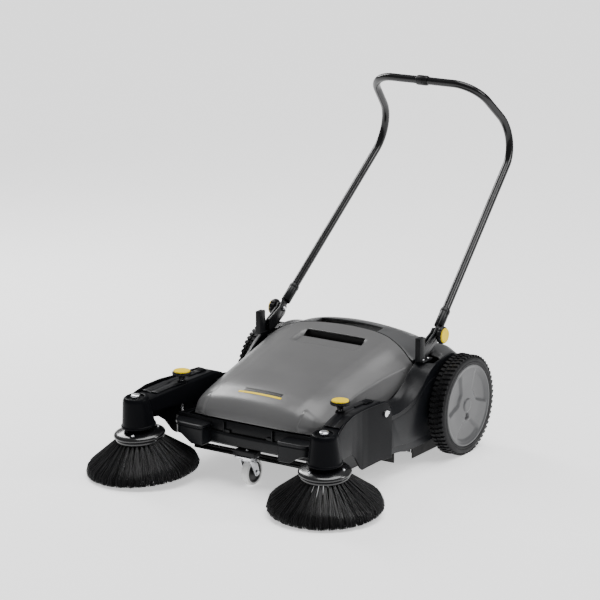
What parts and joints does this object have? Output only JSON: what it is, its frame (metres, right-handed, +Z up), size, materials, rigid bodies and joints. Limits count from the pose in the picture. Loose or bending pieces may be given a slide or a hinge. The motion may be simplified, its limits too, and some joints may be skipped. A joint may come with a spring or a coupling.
{
  "type": "walk behind sweeper",
  "caption": "Push sweeper with two angled side brushes on lifting arms, a main roller between the wheels, a lift-off waste container and a folding tube handle.",
  "frame": {"origin": "on the floor under the middle of the whole machine", "axes": "+Z up, the machine travels towards -Y, +X is the machine's left side"},
  "size_m": [0.92, 1.2835, 1.0085],
  "materials": {
    "hood_grey": "satin moulded plastic, mid grey",
    "chassis_black": "fine-grained moulded plastic, black",
    "wheel_grey": "satin moulded plastic, mid grey",
    "knob_yellow": "glossy yellow plastic",
    "knob_black": "satin black plastic",
    "tyre_rubber": "black tread rubber",
    "caster_white": "pale grey caster tread",
    "caster_hub": "black plastic",
    "bristle_black": "black polypropylene bristles",
    "plate_black": "glossy black plastic",
    "handle_paint": "glossy black powder coat on steel tube",
    "steel": "turned or stamped steel",
    "zinc": "bright zinc-plated steel",
    "gear_plastic": "black acetal",
    "belt_rubber": "black polyurethane belt",
    "seal_rubber": "black rubber strip"
  },
  "bodies": {
    "chassis": {"chassis_tub": "chassis_black", "front_bumper": "chassis_black", "side_panel_left": "chassis_black", "side_panel_right": "chassis_black", "rear_cover": "hood_grey", "roller_housing": "chassis_black", "handle_brackets": "chassis_black", "wheel_axles": "steel", "roller_bushes": "gear_plastic", "drive_belts": "belt_rubber", "arm_pivot_pins": "steel", "side_skirts": "seal_rubber", "sealing_lips": "seal_rubber", "caster_plate": "zinc"},
    "container": {"container_hood": "hood_grey", "container_bin": "chassis_black"},
    "roller": {"roller_shaft": "steel", "roller_core": "gear_plastic", "roller_bristles": "bristle_black"},
    "handle": {"handle_tube_left": "handle_paint", "handle_tube_right": "handle_paint", "handle_sleeve": "handle_paint", "handle_sockets": "chassis_black"},
    "caster_swivel": {"caster_fork": "zinc", "caster_bolt": "zinc"},
    "caster_roll": {"caster_wheel": "caster_hub", "caster_tyre": "caster_white"},
    "wheel_left": {"tyre_left": "tyre_rubber", "wheel_rim_left": "wheel_grey", "ring_gear_left": "gear_plastic"},
    "drive_pinion_left": {"drive_pinion_left": "gear_plastic"},
    "pivot_pulley_left": {"pivot_pulley_left": "steel"},
    "arm_left": {"arm_housing_left": "chassis_black", "arm_cover_left": "chassis_black", "side_brush_belt_left": "belt_rubber"},
    "side_brush_left": {"brush_bristles_left": "bristle_black", "brush_plate_left": "plate_black", "brush_spindle_left": "steel"},
    "height_knob_left": {"height_spindle_left": "steel", "height_knob_left": "knob_black", "height_knob_cap_left": "knob_yellow"},
    "clamp_knob_left": {"clamp_knob_left": "knob_black", "clamp_knob_cap_left": "knob_yellow"},
    "wheel_right": {"tyre_right": "tyre_rubber", "wheel_rim_right": "wheel_grey", "ring_gear_right": "gear_plastic"},
    "drive_pinion_right": {"drive_pinion_right": "gear_plastic"},
    "pivot_pulley_right": {"pivot_pulley_right": "steel"},
    "arm_right": {"arm_housing_right": "chassis_black", "arm_cover_right": "chassis_black", "side_brush_belt_right": "belt_rubber"},
    "side_brush_right": {"brush_bristles_right": "bristle_black", "brush_plate_right": "plate_black", "brush_spindle_right": "steel"},
    "height_knob_right": {"height_spindle_right": "steel", "height_knob_right": "knob_black", "height_knob_cap_right": "knob_yellow"},
    "clamp_knob_right": {"clamp_knob_right": "knob_black", "clamp_knob_cap_right": "knob_yellow"}
  },
  "joints": [
    {"name": "wheel_left_spin", "type": "hinge", "parent": "chassis", "child": "wheel_left", "pos_m": [0.328, 0.181, 0.142], "axis": [1, 0, 0], "continuous": true},
    {"name": "drive_pinion_left_spin", "type": "hinge", "parent": "chassis", "child": "drive_pinion_left", "pos_m": [0.285, 0.111, 0.125], "axis": [1, 0, 0], "continuous": true},
    {"name": "pivot_pulley_left_spin", "type": "hinge", "parent": "chassis", "child": "pivot_pulley_left", "pos_m": [0.278, -0.2, 0.207], "axis": [1, 0, 0], "continuous": true},
    {"name": "arm_left_lift", "type": "hinge", "parent": "chassis", "child": "arm_left", "pos_m": [0.278, -0.2, 0.207], "axis": [-1, 0, 0], "range_deg": [0, 9]},
    {"name": "side_brush_left_spin", "type": "hinge", "parent": "arm_left", "child": "side_brush_left", "pos_m": [0.302, -0.4835, 0.032], "axis": [0.0384, -0.0906, 0.9951], "continuous": true},
    {"name": "height_knob_left_turn", "type": "hinge", "parent": "arm_left", "child": "height_knob_left", "pos_m": [0.262, -0.351, 0.25], "axis": [0, 0, 1], "continuous": true},
    {"name": "clamp_knob_left_turn", "type": "hinge", "parent": "handle", "child": "clamp_knob_left", "pos_m": [0.285, 0.143, 0.346], "axis": [1, 0, 0], "continuous": true},
    {"name": "wheel_right_spin", "type": "hinge", "parent": "chassis", "child": "wheel_right", "pos_m": [-0.328, 0.181, 0.142], "axis": [1, 0, 0], "continuous": true},
    {"name": "drive_pinion_right_spin", "type": "hinge", "parent": "chassis", "child": "drive_pinion_right", "pos_m": [-0.285, 0.111, 0.125], "axis": [1, 0, 0], "continuous": true},
    {"name": "pivot_pulley_right_spin", "type": "hinge", "parent": "chassis", "child": "pivot_pulley_right", "pos_m": [-0.278, -0.2, 0.207], "axis": [1, 0, 0], "continuous": true},
    {"name": "arm_right_lift", "type": "hinge", "parent": "chassis", "child": "arm_right", "pos_m": [-0.278, -0.2, 0.207], "axis": [-1, 0, 0], "range_deg": [0, 9]},
    {"name": "side_brush_right_spin", "type": "hinge", "parent": "arm_right", "child": "side_brush_right", "pos_m": [-0.302, -0.4835, 0.032], "axis": [-0.0384, -0.0906, 0.9951], "continuous": true},
    {"name": "height_knob_right_turn", "type": "hinge", "parent": "arm_right", "child": "height_knob_right", "pos_m": [-0.262, -0.351, 0.25], "axis": [0, 0, 1], "continuous": true},
    {"name": "clamp_knob_right_turn", "type": "hinge", "parent": "handle", "child": "clamp_knob_right", "pos_m": [-0.285, 0.143, 0.346], "axis": [1, 0, 0], "continuous": true},
    {"name": "roller_spin", "type": "hinge", "parent": "chassis", "child": "roller", "pos_m": [0, 0.111, 0.125], "axis": [1, 0, 0], "continuous": true},
    {"name": "handle_fold", "type": "hinge", "parent": "chassis", "child": "handle", "pos_m": [0, 0.143, 0.346], "axis": [-1, 0, 0], "range_deg": [-102, 0]},
    {"name": "container_lift", "type": "slide", "parent": "chassis", "child": "container", "axis": [0, 0, 1], "range_m": [0, 0.35]},
    {"name": "caster_swivel_turn", "type": "hinge", "parent": "chassis", "child": "caster_swivel", "pos_m": [0, -0.41, 0.085], "axis": [0, 0, 1], "continuous": true},
    {"name": "caster_roll_spin", "type": "hinge", "parent": "caster_swivel", "child": "caster_roll", "pos_m": [0, -0.39, 0.0375], "axis": [1, 0, 0], "continuous": true}
  ],
  "couplings": [
    {"joint": "drive_pinion_left_spin", "follows": "wheel_left_spin", "ratio": 4},
    {"joint": "pivot_pulley_left_spin", "follows": "wheel_left_spin", "ratio": 4},
    {"joint": "side_brush_left_spin", "follows": "wheel_left_spin", "ratio": -3.2},
    {"joint": "drive_pinion_right_spin", "follows": "wheel_right_spin", "ratio": 4},
    {"joint": "pivot_pulley_right_spin", "follows": "wheel_right_spin", "ratio": 4},
    {"joint": "side_brush_right_spin", "follows": "wheel_right_spin", "ratio": 3.2},
    {"joint": "roller_spin", "follows": "wheel_left_spin", "ratio": 4}
  ]
}
